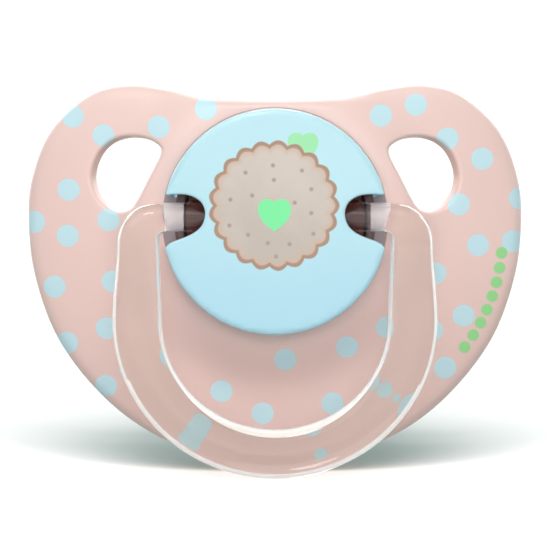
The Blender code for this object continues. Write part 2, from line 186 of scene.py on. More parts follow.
BISCUIT_HOLES = [
    (-0.2, 5.5), (-2.85, 4.8), (-0.1, 4.1), (2.6, 5.0), (-4.3, 2.2), (3.5, 3.2), (-2.2, 2.6),
    (3.5, 0.9), (1.9, 1.9), (-4.4, -0.3), (-2.6, -1.2), (-0.7, -2.0), (1.4, -2.1), (3.7, -1.1),
    (0.1, -3.3),
]
BISCUIT_HOLE_RADIUS = 0.2
BISCUIT_HOLE_SOFT = 0.08
HEART = (-0.05, 0.5)
HEART_SIZE = 1.4
PALE_HEART = (2.7, 7.05)
PALE_HEART_SIZE = 1.3


# ---------------------------------------------------------------- lines and loops


def catmull_rom(points, steps, closed):
    """A smooth line through the points, with the given number of steps between two of them."""
    points = [np.array(point, float) for point in points]
    spans = len(points) if closed else len(points) - 1

    def knot(index):
        if closed:
            return points[index % len(points)]
        return points[min(max(index, 0), len(points) - 1)]

    line = []
    for index in range(spans):
        before, start, end, after = (knot(index + k) for k in (-1, 0, 1, 2))
        for step in range(steps):
            t = step / steps
            line.append(0.5 * (
                2.0 * start
                + (end - before) * t
                + (2.0 * before - 5.0 * start + 4.0 * end - after) * t ** 2
                + (3.0 * start - 3.0 * end + after - before) * t ** 3))
    if not closed:
        line.append(points[-1])
    return np.array(line)


def resample(loop, spacing):
    """Evenly spaced points along a closed line."""
    closed = np.vstack([loop, loop[:1]])
    lengths = np.hypot(*np.diff(closed, axis=0).T)
    along = np.concatenate([[0.0], np.cumsum(lengths)])
    count = max(8, int(round(along[-1] / spacing)))
    places = np.arange(count) * along[-1] / count
    return np.column_stack([np.interp(places, along, closed[:, axis]) for axis in (0, 1)])


def counterclockwise(loop):
    x, z = loop.T
    area = np.sum(x * np.roll(z, -1) - np.roll(x, -1) * z)
    return loop if area > 0.0 else loop[::-1]


def smoothstep(low, high, value):
    share = np.clip((value - low) / (high - low), 0.0, 1.0)
    return share * share * (3.0 - 2.0 * share)


def inside(loop, points):
    """Whether each point lies inside a closed loop."""
    x, z = points.T
    result = np.zeros(len(points), bool)
    for (x1, z1), (x2, z2) in zip(loop, np.roll(loop, -1, axis=0)):
        crosses = (z1 > z) != (z2 > z)
        if z1 != z2:
            result ^= crosses & (x < (x2 - x1) * (z - z1) / (z2 - z1) + x1)
    return result


# ---------------------------------------------------------------- meshes


def add_piece(name, vertices, faces, materials, slots=None):
    """A smooth-shaded mesh object from points in millimetres, welded, with its faces pointing out."""
    bm = bmesh.new()
    corners = [bm.verts.new(Vector(vertex) * MM) for vertex in vertices]
    for index, face in enumerate(faces):
        ring = [corners[i] for i in face]
        made = bm.faces.new(ring)
        made.material_index = slots[index] if slots else 0
        made.smooth = True
    bmesh.ops.remove_doubles(bm, verts=bm.verts, dist=0.002 * MM)
    bmesh.ops.dissolve_degenerate(bm, edges=bm.edges, dist=0.0005 * MM)
    bmesh.ops.recalc_face_normals(bm, faces=bm.faces)
    mesh = bpy.data.meshes.new(name)
    bm.to_mesh(mesh)
    bm.free()
    obj = bpy.data.objects.new(name, mesh)
    for material in materials:
        mesh.materials.append(material)
    bpy.context.scene.collection.objects.link(obj)
    return obj


class Edge:
    """One edge loop of a shell and the width of its rounding.

    Each of rows takes the loop and gives a line of points in space; they lead from the front
    skin to the back one. The first seat strips get the shell's third material, a painted shade.
    """

    def __init__(self, loop, is_hole, round_width, rows=(), painted_shade_seat_rows=0):
        loop = counterclockwise(loop)
        tangent = np.roll(loop, -1, axis=0) - np.roll(loop, 1, axis=0)
        tangent /= np.hypot(*tangent.T)[:, None]
        into_material = np.column_stack([-tangent[:, 1], tangent[:, 0]])
        if is_hole:
            into_material = -into_material
        shares = [1.0 - math.cos(math.radians(15.0 * step)) for step in range(1, 7)]
        self.loop = loop
        self.insets = [
            (round_width * share, loop + into_material * round_width * share) for share in shares]
        self.round_width = round_width
        self.rows = rows
        self.painted_shade_seat_rows = painted_shade_seat_rows


def depth_behind(edges, points):
    """How far each point lies from the nearest edge, and that edge's number."""
    nearest = np.full(len(points), math.inf)
    owner = np.zeros(len(points), int)
    for number, edge in enumerate(edges):
        for start, end in zip(edge.loop, np.roll(edge.loop, -1, axis=0)):
            side = end - start
            share = np.clip((points - start) @ side / (side @ side), 0.0, 1.0)
            apart = np.hypot(*(points - start - share[:, None] * side).T)
            closer = apart < nearest
            nearest[closer] = apart[closer]
            owner[closer] = number
    return nearest, owner


def in_pattern(edges, points):
    """Whether each point lies inside the outline and outside every hole."""
    result = inside(edges[0].loop, points)
    for edge in edges[1:]:
        result &= ~inside(edge.loop, points)
    return result


def shell(name, edges, spacing, front, back, materials):
    """A plate between a front and a back skin that share one flat pattern.

    front and back take pattern points, the depth of each point behind the nearest edge and that
    edge's number, and give points in space. Each edge's rows close the gap between the two skins.
    The front skin gets the first material, the rest the second, and seat strips the third: painted
    shade.
    """
    points = []
    constraints = []
    for edge in edges:
        first = len(points)
        count = len(edge.loop)
        points += [tuple(point) for point in edge.loop]
        constraints += [(first + i, first + (i + 1) % count) for i in range(count)]
    starts = np.cumsum([0] + [len(edge.loop) for edge in edges])
    for edge in edges:
        for depth, loop in edge.insets:
            nearest, _ = depth_behind(edges, loop)
            points += [tuple(point) for point in loop[nearest > 0.97 * depth]]

    low = edges[0].loop.min(axis=0)
    high = edges[0].loop.max(axis=0)
    filling = np.array([
        (x + (0.5 * spacing if row % 2 else 0.0), z)
        for row, z in enumerate(np.arange(low[1], high[1], spacing * math.sqrt(0.75)))
        for x in np.arange(low[0], high[0], spacing)])
    nearest, owner = depth_behind(edges, filling)
    widths = np.array([edge.round_width for edge in edges])
    keep = nearest > widths[owner] + 0.5 * spacing
    points += [tuple(point) for point in filling[keep & in_pattern(edges, filling)]]

    flat, _, triangles, sources, _, _ = delaunay_2d_cdt(
        [Vector(point) for point in points], constraints, [], 0, 1e-6)
    flat = np.array([tuple(point) for point in flat])
    depths, owners = depth_behind(edges, flat)
    place_of = {origin: index for index, origins in enumerate(sources) for origin in origins}
    triangles = np.array([tuple(triangle) for triangle in triangles])
    triangles = triangles[in_pattern(edges, flat[triangles].mean(axis=1))]
    triangles = [tuple(int(i) for i in triangle) for triangle in triangles]

    front_points = front(flat, depths, owners)
    back_points = back(flat, depths, owners)
    vertices = [tuple(p) for p in front_points] + [tuple(p) for p in back_points]
    shift = len(front_points)
    faces = list(triangles)
    slots = [0] * len(triangles)
    faces += [tuple(i + shift for i in reversed(triangle)) for triangle in triangles]
    slots += [1] * len(triangles)
    for number, edge in enumerate(edges):
        count = len(edge.loop)
        ring = [place_of[int(starts[number]) + i] for i in range(count)]
        rows = [ring]
        for row in edge.rows:
            rows.append(list(range(len(vertices), len(vertices) + count)))
            vertices += [tuple(point) for point in row(edge.loop)]
        rows.append([i + shift for i in ring])
        for strip, (row, following) in enumerate(zip(rows, rows[1:])):
            for i in range(count):
                after = (i + 1) % count
                faces.append((row[i], row[after], following[after], following[i]))
                slots.append(2 if strip < edge.painted_shade_seat_rows else 1)
    used = sorted({i for face in faces for i in face})
    renumber = {old: new for new, old in enumerate(used)}
    vertices = [vertices[i] for i in used]
    faces = [tuple(renumber[i] for i in face) for face in faces]
    return add_piece(name, vertices, faces, materials, slots)


def rounding(depths, width):
    """A quarter ellipse: 0 at an edge, 1 from the rounding's width on."""
    share = np.clip(depths / width, 0.0, 1.0)
    return np.sqrt(1.0 - (1.0 - share) ** 2)


# ---------------------------------------------------------------- shield


def shield_middle(flat):
    """The plate's middle surface and its normal, which points back."""
    x, z = flat.T
    y = x * x / (2.0 * SHIELD_BEND_X) + z * z / (2.0 * SHIELD_BEND_Z) - 0.5 * SHIELD_THICKNESS
    normal = np.column_stack([-x / SHIELD_BEND_X, np.ones(len(x)), -z / SHIELD_BEND_Z])
    normal /= np.linalg.norm(normal, axis=1)[:, None]
    return np.column_stack([x, y, z]), normal


OUTLINE, LEFT_VENT, RIGHT_VENT = range(3)


def shield_front(flat, depths, owners):
    middle, normal = shield_middle(flat)
    radius = np.hypot(*flat.T)
    wider = SHIELD_EDGE_ROUND - SHIELD_TOP_EDGE_ROUND
    edge_width = SHIELD_TOP_EDGE_ROUND + wider * smoothstep(12.0, 17.0, radius)
    height = np.ones(len(flat))
    outline = owners == OUTLINE
    height[outline] = rounding(depths[outline], edge_width[outline])
    vent = (owners == LEFT_VENT) | (owners == RIGHT_VENT)
    height[vent] = 0.6 + 0.4 * rounding(depths[vent], VENT_EDGE_ROUND)
    swell = 1.0 - smoothstep(BOSS_RADIUS, BOSS_FADE_RADIUS, radius)
    swell *= swell * (1.5 - 0.5 * swell)
    points = middle - normal * (0.5 * SHIELD_THICKNESS)
    points[:, 1] += (BOSS_FRONT_Y - points[:, 1]) * swell
    return middle + (points - middle) * height[:, None]


def shield_back(flat, depths, owners):
    middle, normal = shield_middle(flat)
    height = np.ones(len(flat))
    outline = owners == OUTLINE
    height[outline] = rounding(depths[outline], SHIELD_BACK_EDGE_ROUND)
    vent = (owners == LEFT_VENT) | (owners == RIGHT_VENT)
    height[vent] = 0.65 + 0.35 * rounding(depths[vent], VENT_BACK_EDGE_ROUND)
    return middle + normal * (0.5 * SHIELD_THICKNESS * height)[:, None]


def collar_row(radius, y):
    """One circle of the collar, with a point for each point of the loop it starts from."""
    def row(loop):
        angle = np.arctan2(loop[:, 1], loop[:, 0])
        return np.column_stack([radius * np.cos(angle), np.full(len(loop), y), radius * np.sin(angle)])
    return row


def build_shield(printed, plain, seat_painted_shade):
    left = [(-x, z) for x, z in reversed(SHIELD_HALF_OUTLINE[1:-1])]
    outline = resample(catmull_rom(SHIELD_HALF_OUTLINE + left, 16, closed=True), 0.6)
    vent = resample(catmull_rom(VENT_OUTLINE, 12, closed=True), 0.35)
    angles = np.arange(COLLAR_STEPS) * math.tau / COLLAR_STEPS
    centre = COLLAR_START_RADIUS * np.column_stack([np.cos(angles), np.sin(angles)])
    collar = [collar_row(radius, y) for radius, y in COLLAR_PROFILE]
    edges = [
        Edge(outline, False, SHIELD_EDGE_ROUND),
        Edge(vent * (-1.0, 1.0), True, VENT_EDGE_ROUND),
        Edge(vent, True, VENT_EDGE_ROUND),
        Edge(centre, True, CENTRE_EDGE_ROUND, collar, PAINTED_SHADE_SEAT_ROWS),
    ]
    return shell("shield_look", edges, 0.9, shield_front, shield_back, [printed, plain, seat_painted_shade])


# ---------------------------------------------------------------- cap


CAP_FLAT_RADIUS = CAP_RADIUS - CAP_EDGE_ROUND
CAP_BEND_LENGTH = CAP_EDGE_ROUND * 0.5 * math.pi
CAP_SKIRT_LENGTH = CAP_REAR_Y - CAP_FRONT_Y - CAP_EDGE_ROUND
CAP_REACH = CAP_FLAT_RADIUS + CAP_BEND_LENGTH + CAP_SKIRT_LENGTH


def cap_surface(flat):
    """The outer skin's points and normals, from its rolled-out pattern.

    The distance from the pattern's middle runs over the cap's edge and down its skirt.
    """
    reach = np.hypot(*flat.T)
    across = flat / np.maximum(reach, 1e-9)[:, None]
    bend = np.clip((reach - CAP_FLAT_RADIUS) / CAP_EDGE_ROUND, 0.0, 0.5 * math.pi)
    radius = np.minimum(reach, CAP_FLAT_RADIUS) + CAP_EDGE_ROUND * np.sin(bend)
    skirt = np.maximum(reach - CAP_FLAT_RADIUS - CAP_BEND_LENGTH, 0.0)
    crown = CAP_CROWN * np.minimum(reach / CAP_FLAT_RADIUS, 1.0) ** 2
    y = CAP_FRONT_Y + CAP_EDGE_ROUND * (1.0 - np.cos(bend)) + skirt + crown * np.cos(bend)
    outward = np.column_stack([across[:, 0] * np.sin(bend), -np.cos(bend), across[:, 1] * np.sin(bend)])
    return np.column_stack([across[:, 0] * radius, y, across[:, 1] * radius]), outward


def cap_front(flat, depths, owners):
    points, outward = cap_surface(flat)
    sunk = WINDOW_EDGE_ROUND * (1.0 - rounding(depths, WINDOW_EDGE_ROUND))
    return points - outward * sunk[:, None]


def cap_back(flat, depths, owners):
    points, outward = cap_surface(flat)
    return points - outward * CAP_WALL


def cap_outline():
    """The rolled-out cap's edge: the skirt's end, with a window running in from each side."""
    window = catmull_rom(WINDOW_OUTLINE, 8, closed=False)
    top_angle = math.atan2(window[0][1], window[0][0])
    low_angle = math.atan2(window[-1][1], window[-1][0])
    top_reach = np.linspace(CAP_REACH, math.hypot(*window[0]) + 0.3, 12)
    low_reach = np.linspace(math.hypot(*window[-1]) + 0.3, CAP_REACH, 12)
    top_side = [(s * math.cos(top_angle), s * math.sin(top_angle)) for s in top_reach]
    low_side = [(s * math.cos(low_angle), s * math.sin(low_angle)) for s in low_reach]
    right = top_side + [tuple(p) for p in window] + low_side
    under = [(CAP_REACH * math.cos(a), CAP_REACH * math.sin(a))
             for a in np.linspace(low_angle, -math.pi - low_angle, 60)[1:-1]]
    left = [(-x, z) for x, z in reversed(right)]
    over = [(CAP_REACH * math.cos(a), CAP_REACH * math.sin(a))
            for a in np.linspace(math.pi - top_angle, top_angle, 60)[1:-1]]
    return np.array(right + under + left + over)


def build_cap(printed, plain):
    edges = [Edge(resample(cap_outline(), 0.3), False, WINDOW_EDGE_ROUND)]
    return shell("front_cap_look", edges, 0.6, cap_front, cap_back, [printed, plain])


# ---------------------------------------------------------------- teat


def turned(name, profile, steps, materials, shape):
    """A profile of (radius, y) turned round the teat's axis; shape then moves its points."""
    angles = np.arange(steps) * math.tau / steps
    vertices = []
    for radius, y in profile:
        vertices += [shape((radius * math.cos(a), y, radius * math.sin(a))) for a in angles]
    faces = []
    for row in range(len(profile) - 1):
        for step in range(steps):
            after = (step + 1) % steps
            low, high = row * steps, (row + 1) * steps
            faces.append((low + step, low + after, high + after, high + step))
    return add_piece(name, vertices, faces, materials)


def flatten_bulb(vertex):
    x, y, z = vertex
    share = float(smoothstep(TEAT_FLATTEN_START_Y, TEAT_FLATTEN_END_Y, y))
    return x, y, z * (1.0 - TEAT_FLATTENING * share)


def build_teat(silicone):
    outer = [tuple(point) for point in catmull_rom(TEAT_OUTLINE, 8, closed=False)]
    tip_y = outer[-1][1]
    inner = [(radius - TEAT_WALL, y) for radius, y in reversed(outer[1:]) if radius > 1.6 * TEAT_WALL]
    bore = outer[0][0] - TEAT_WALL
    rim = TEAT_RIM
    profile = [(0.0, tip_y - TEAT_WALL)] + inner + [
        (bore, TEAT_FLANGE_FRONT_Y + rim),
        (bore + rim, TEAT_FLANGE_FRONT_Y),
        (TEAT_FLANGE_RADIUS - rim, TEAT_FLANGE_FRONT_Y),
        (TEAT_FLANGE_RADIUS, TEAT_FLANGE_FRONT_Y + rim),
        (TEAT_FLANGE_RADIUS, TEAT_FLANGE_REAR_Y - rim),
        (TEAT_FLANGE_RADIUS - rim, TEAT_FLANGE_REAR_Y),
        (outer[0][0] + rim, TEAT_FLANGE_REAR_Y),
        (outer[0][0], TEAT_FLANGE_REAR_Y + rim),
    ] + outer[1:]
    return turned("teat_look", profile, TEAT_TURN_STEPS, [silicone], flatten_bulb)


# ---------------------------------------------------------------- ring


def ring_stations():
    """Outer edge, inner edge, depth and squareness of each section of the right half, tip to bow."""
    stub_top = HINGE_Z + STUB_RADIUS
    stub_low = HINGE_Z - STUB_RADIUS
    stations = []
    for step in range(DOME_STEPS):
        angle = math.radians(90.0 * step / DOME_STEPS)
        size = 1.0 - STUB_DOME / STUB_RADIUS * (1.0 - math.sin(angle))
        x = STUB_TIP_X + STUB_DOME * (1.0 - math.cos(angle))
        top = HINGE_Z + STUB_RADIUS * size
        low = HINGE_Z - STUB_RADIUS * size
        stations.append(((x, top), (x, low), 2.0 * STUB_RADIUS * size, ROUND))
    for x in np.linspace(STUB_TIP_X + STUB_DOME, SHOULDER_INNER_X, STUB_STEPS + 1)[:-1]:
        stations.append(((x, stub_top), (x, stub_low), 2.0 * STUB_RADIUS, ROUND))
    for step in range(SHOULDER_STEPS + 1):
        share = step / SHOULDER_STEPS
        angle = math.radians(90.0 * (1.0 - share))
        outer_start = SHOULDER_INNER_X + (SHOULDER_X - SHOULDER_INNER_X) * min(1.0, share * 4.0)
        outer = (
            outer_start + SHOULDER_OUTER_RADIUS * math.cos(angle),
            stub_top - SHOULDER_OUTER_RADIUS * (1.0 - math.sin(angle)))
        inner = (
            SHOULDER_INNER_X + SHOULDER_INNER_RADIUS * math.cos(angle),
            stub_low - SHOULDER_INNER_RADIUS * (1.0 - math.sin(angle)))
        depth = 2.0 * STUB_RADIUS + (RING_DEPTH - 2.0 * STUB_RADIUS) * share
        stations.append((outer, inner, depth, ROUND + (RING_SQUARENESS - ROUND) * share))
    outer_from, inner_from, _, _ = stations[-1]
    for step in range(1, ARM_STEPS):
        share = step / ARM_STEPS
        eased = float(smoothstep(0.0, 1.0, share))
        outer = (
            outer_from[0] + (RING_BOW_OUTER[0] - outer_from[0]) * eased,
            outer_from[1] + (RING_BOW_Z - outer_from[1]) * share)
        inner = (
            inner_from[0] + (RING_BOW_INNER[0] - inner_from[0]) * eased,
            inner_from[1] + (RING_BOW_Z - inner_from[1]) * share)
        stations.append((outer, inner, RING_DEPTH, RING_SQUARENESS))
    for step in range(BOW_STEPS + 1):
        angle = math.radians(-90.0 * step / BOW_STEPS)
        across = math.cos(angle) if step < BOW_STEPS else 0.0
        outer = (RING_BOW_OUTER[0] * across, RING_BOW_Z + RING_BOW_OUTER[1] * math.sin(angle))
        inner = (RING_BOW_INNER[0] * across, RING_BOW_Z + RING_BOW_INNER[1] * math.sin(angle))
        stations.append((outer, inner, RING_DEPTH, RING_SQUARENESS))
    return stations


def superellipse(sides, squareness):
    """A unit section: round at a squareness of ROUND, flatter-sided above it."""
    power = ROUND / squareness
    points = []
    for side in range(sides):
        angle = math.tau * side / sides
        c, s = math.cos(angle), math.sin(angle)
        points.append((math.copysign(abs(c) ** power, c), math.copysign(abs(s) ** power, s)))
    return points


def is_corner(side, squareness, z):
    """Whether a side of the section lies on one of its corners.

    The corners widen from nothing along the shoulders. On the ring's outer edge they are
    narrower on the arms and wider low on the bow.
    """
    angle = math.tau * (side + 0.5) / RING_SECTION_SIDES
    off_plane = math.degrees(math.asin(abs(math.sin(angle))))
    grown = min(1.0, (squareness - ROUND) / (CORNER_GROWN_AT_SQUARENESS - ROUND))
    widest = CORNER_TO_DEG
    if math.cos(angle) > 0.0:
        if z > RING_BOW_Z:
            widest -= OUTER_ARM_CORNER_LESS_DEG
        elif z < OUTER_BOW_BELOW_Z:
            widest += OUTER_BOW_CORNER_MORE_DEG
    return CORNER_FROM_DEG < off_plane < CORNER_FROM_DEG + (widest - CORNER_FROM_DEG) * grown


def build_ring(clear, corner_highlight, cuff_painted_light):
    """The whole ring: each section swept from one stub's tip round to the other's."""
    half = ring_stations()
    other_half = [
        ((-outer[0], outer[1]), (-inner[0], inner[1]), depth, squareness)
        for outer, inner, depth, squareness in reversed(half[:-1])]
    stations = half + other_half
    sides = RING_SECTION_SIDES
    vertices = []
    for outer, inner, depth, squareness in stations:
        middle = np.array([outer[0] + inner[0], 2.0 * HINGE_Y, outer[1] + inner[1]]) * 0.5
        across = np.array([outer[0] - inner[0], 0.0, outer[1] - inner[1]]) * 0.5
        for c, s in superellipse(sides, squareness):
            vertices.append(tuple(middle + across * c + np.array([0.0, 0.5 * depth * s, 0.0])))
    faces = []
    slots = []
    for row, (outer, inner, _, squareness) in enumerate(stations[:-1]):
        low, high = row * sides, (row + 1) * sides
        middle_x = 0.5 * abs(outer[0] + inner[0])
        # The cuffs get the pale material, painted light on the stubs.
        in_cuff = outer[1] > 0.0 and CUFF_FROM_X < middle_x < CUFF_TO_X
        for side in range(sides):
            after = (side + 1) % sides
            faces.append((low + side, low + after, high + after, high + side))
            slots.append(2 if in_cuff else int(is_corner(side, squareness, outer[1])))
    faces.append(tuple(range(sides)))
    faces.append(tuple(range(len(vertices) - sides, len(vertices))))
    slots += [0, 0]
    return add_piece("ring_look", vertices, faces, [clear, corner_highlight, cuff_painted_light], slots)


# ---------------------------------------------------------------- materials


class Nodes:
    """A small helper that adds nodes to one material and links them."""

    def __init__(self, name):
        self.material = bpy.data.materials.new(name)
        self.material.use_nodes = True
        self.tree = self.material.node_tree
        self.shader = self.tree.nodes["Principled BSDF"]
        self.output = self.tree.nodes["Material Output"]
        self.place = self.node("ShaderNodeTexCoord").outputs["Object"]

    def node(self, kind, **settings):
        made = self.tree.nodes.new(kind)
        for key, value in settings.items():
            setattr(made, key, value)
        return made

    def link(self, source, target):
        """Links a socket to the target, or sets the target to a plain value."""
        if isinstance(source, (int, float, tuple)):
            target.default_value = source
        else:
            self.tree.links.new(source, target)

    def set(self, **values):
        """Sets the shader's own inputs; an underscore stands for a space in their names."""
        for key, value in values.items():
            self.shader.inputs[key.replace("_", " ")].default_value = value

    def colour(self, source):
        self.link(source, self.shader.inputs["Base Color"])

    def math(self, operation, *values):
        made = self.node("ShaderNodeMath", operation=operation)
        for value, socket in zip(values, made.inputs):
            self.link(value, socket)
        return made.outputs[0]

    def mix(self, share, first, second):
        made = self.node("ShaderNodeMix", data_type="RGBA")
        self.link(share, made.inputs["Factor"])
        self.link(first, made.inputs[6])
        self.link(second, made.inputs[7])
        return made.outputs[2]

    def ramp(self, value, low, high, to_low=0.0, to_high=1.0):
        made = self.node("ShaderNodeMapRange", interpolation_type="SMOOTHSTEP")
        for source, key in ((value, "Value"), (low, "From Min"), (high, "From Max"),
                            (to_low, "To Min"), (to_high, "To Max")):
            self.link(source, made.inputs[key])
        return made.outputs["Result"]

    def noise(self, scale, detail=2.0):
        made = self.node("ShaderNodeTexNoise")
        self.link(self.place, made.inputs["Vector"])
        self.link(scale, made.inputs["Scale"])
        self.link(detail, made.inputs["Detail"])
        return made.outputs["Fac"]

    def cloud(self, scale, detail=2.0, low=0.0, high=1.0):
        """Soft patches between low and high."""
        return self.ramp(self.noise(scale, detail), 0.3, 0.7, low, high)

    def within(self, distance, edge, soft):
        """1 where the distance is below the edge, 0 above it, with a soft step between."""
        return self.ramp(distance, edge + soft, edge - soft)

    def bump(self, height, strength):
        made = self.node("ShaderNodeBump")
        self.link(strength, made.inputs["Strength"])
        self.link(BUMP_DISTANCE, made.inputs["Distance"])
        self.link(height, made.inputs["Height"])
        self.link(made.outputs["Normal"], self.shader.inputs["Normal"])

    def front_place(self):
        """The place on the front as x and z, in millimetres."""
        scaled = self.node("ShaderNodeVectorMath", operation="SCALE")
        self.link(self.place, scaled.inputs[0])
        scaled.inputs["Scale"].default_value = 1.0 / MM
        split = self.node("ShaderNodeSeparateXYZ")
        self.link(scaled.outputs[0], split.inputs[0])
        return split.outputs["X"], split.outputs["Z"]

    def nearest(self, x, z, centres):
        """The distance to the nearest of several centres."""
        flat = self.node("ShaderNodeCombineXYZ")
        self.link(x, flat.inputs["X"])
        self.link(z, flat.inputs["Y"])
        nearest = None
        for centre in centres:
            apart = self.node("ShaderNodeVectorMath", operation="DISTANCE")
            self.link(flat.outputs[0], apart.inputs[0])
            self.link((centre[0], centre[1], 0.0), apart.inputs[1])
            distance = apart.outputs["Value"]
            nearest = distance if nearest is None else self.math("MINIMUM", nearest, distance)
        return nearest

    def heart(self, x, z, centre, size):
        """1 inside a heart of the given half width, 0 outside it."""
        u = self.math("DIVIDE", self.math("SUBTRACT", x, centre[0]), size)
        v = self.math("DIVIDE", self.math("SUBTRACT", z, centre[1]), size)
        uu = self.math("MULTIPLY", u, u)
        vv = self.math("MULTIPLY", v, v)
        body = self.math("SUBTRACT", self.math("ADD", uu, vv), 1.0)
        notch = self.math("MULTIPLY", self.math("POWER", uu, 1.0 / 3.0), v)
        return self.within(self.math("SUBTRACT", body, notch), 0.0, 0.08)


def rgb(red, green, blue):
    return (red, green, blue, 1.0)


BUMP_DISTANCE = 0.1 * MM
PINK = rgb(0.84, 0.59, 0.55)
PINK_DEEP = rgb(0.81, 0.56, 0.52)
# Painted shade: the shield's front under the cap, seen through the windows, is coloured dark.
UNDER_CAP_PAINTED_SHADE = rgb(0.33, 0.27, 0.28)
# Painted shade: the collar's seat inside the cap is coloured dark.
SEAT_PAINTED_SHADE = rgb(0.22, 0.15, 0.15)
SEAT_PAINTED_SHADE_DEEP = rgb(0.19, 0.12, 0.12)
DOT_BLUE = rgb(0.55, 0.74, 0.81)
MINT = rgb(0.31, 0.67, 0.27)
# Painted light and shade: the cap's blue is lighter at the top and deeper at the bottom.
CAP_BLUE_PAINTED_LIT = rgb(0.50, 0.765, 0.85)
CAP_BLUE_PAINTED_SHADE = rgb(0.425, 0.70, 0.83)
# Painted light and shade: the biscuit's dough is paler at the top, deeper at the bottom.
BISCUIT_PAINTED_LIT = rgb(0.635, 0.54, 0.485)
BISCUIT_PAINTED_SHADE = rgb(0.535, 0.445, 0.39)
BISCUIT_PEACH = rgb(0.62, 0.42, 0.32)
BISCUIT_BROWN = rgb(0.405, 0.235, 0.155)
BISCUIT_HOLE = rgb(0.40, 0.30, 0.25)
HEART_GREEN = rgb(0.17, 0.84, 0.33)
HEART_PALE = rgb(0.33, 0.78, 0.40)
# Painted shade: the plug seen in the windows is coloured near-black red.
PLUG_PAINTED_SHADE = rgb(0.14, 0.038, 0.03)
PLUG_PAINTED_SHADE_DEEP = rgb(0.11, 0.03, 0.025)
SILICONE = rgb(0.95, 0.90, 0.82)
SILICONE_DEEP = rgb(0.91, 0.86, 0.77)
CLEAR = rgb(0.985, 0.962, 0.935)
# Painted light: the stubs' cuffs are pale pink where the lit shield shows through.
CUFF_PAINTED_LIGHT = rgb(0.95, 0.88, 0.89)
CLEAR_SHADE = rgb(0.945, 0.91, 0.88)
FLOOR = rgb(0.43, 0.475, 0.466)
FLOOR_PALE = rgb(0.44, 0.485, 0.476)
PLASTIC_IOR = 1.49
SILICONE_IOR = 1.41


def moulded_finish(nodes, roughness, spread, coat):
    """The faint orange peel and the slight gloss changes of moulded plastic."""
    gloss = nodes.cloud(90.0, 3.0, roughness - spread, roughness + spread)
    nodes.link(gloss, nodes.shader.inputs["Roughness"])
    nodes.bump(nodes.noise(900.0), 0.06)
    nodes.set(Coat_Weight=coat, Coat_Roughness=0.12)


def pink_plastic(nodes):
    return nodes.mix(nodes.cloud(45.0), PINK, PINK_DEEP)


def rim_beads():
    """Centres of the beads printed along the right rim, on a curve."""
    centres = []
    for index in range(RIM_BEAD_COUNT):
        t = index / (RIM_BEAD_COUNT - 1)
        centres.append(tuple(
            (1.0 - t) ** 2 * a + 2.0 * t * (1.0 - t) * b + t * t * c
            for a, b, c in zip(RIM_BEADS_FROM, RIM_BEADS_VIA, RIM_BEADS_TO)))
    return centres


def make_shield_printed():
    nodes = Nodes("shield_printed")
    x, z = nodes.front_place()
    dots = nodes.within(nodes.nearest(x, z, DOTS), DOT_RADIUS, PRINT_SOFT)
    colour = nodes.mix(dots, pink_plastic(nodes), DOT_BLUE)
    beads = nodes.within(nodes.nearest(x, z, rim_beads()), RIM_BEAD_RADIUS, PRINT_SOFT)
    colour = nodes.mix(beads, colour, MINT)
    # Painted shade: the front under the cap is coloured dark, as if it lay in the cap's shade.
    painted_shade_under_cap = nodes.within(nodes.nearest(x, z, [(0.0, 0.0)]), UNDER_CAP_PAINTED_SHADE_RADIUS, PRINT_SOFT)
    nodes.colour(nodes.mix(painted_shade_under_cap, colour, UNDER_CAP_PAINTED_SHADE))
    moulded_finish(nodes, 0.38, 0.05, 0.15)
    return nodes.material


def make_shield_plain():
    nodes = Nodes("shield_plain")
    nodes.colour(pink_plastic(nodes))
    moulded_finish(nodes, 0.42, 0.05, 0.1)
    return nodes.material


def blue_with_painted_shade(nodes):
    """Blue with painted light and shade: lighter at the top, deeper towards the lower edge, a little
    clouded.
    """
    _, z = nodes.front_place()
    height = nodes.math("ADD", z, nodes.cloud(60.0, 2.0, -0.8, 0.8))
    return nodes.mix(nodes.ramp(height, 9.0, -11.0), CAP_BLUE_PAINTED_LIT, CAP_BLUE_PAINTED_SHADE)


def biscuit_dough(nodes, x, z, up, past):
    """The dough: painted lighter above and shaded below, toasted along the edge and pricked with holes.
    """
    height = nodes.math("ADD", up, nodes.cloud(260.0, 3.0, -2.0, 2.0))
    dough = nodes.mix(nodes.ramp(height, 6.0, -6.0), BISCUIT_PAINTED_LIT, BISCUIT_PAINTED_SHADE)
    crust = nodes.ramp(past, -BISCUIT_LINE - BISCUIT_CRUST, -BISCUIT_LINE)
    dough = nodes.mix(nodes.math("MULTIPLY", crust, 0.8), dough, BISCUIT_PEACH)
    apart = nodes.nearest(x, z, BISCUIT_HOLES)
    holes = nodes.within(apart, BISCUIT_HOLE_RADIUS, BISCUIT_HOLE_SOFT)
    return nodes.mix(holes, dough, BISCUIT_HOLE)


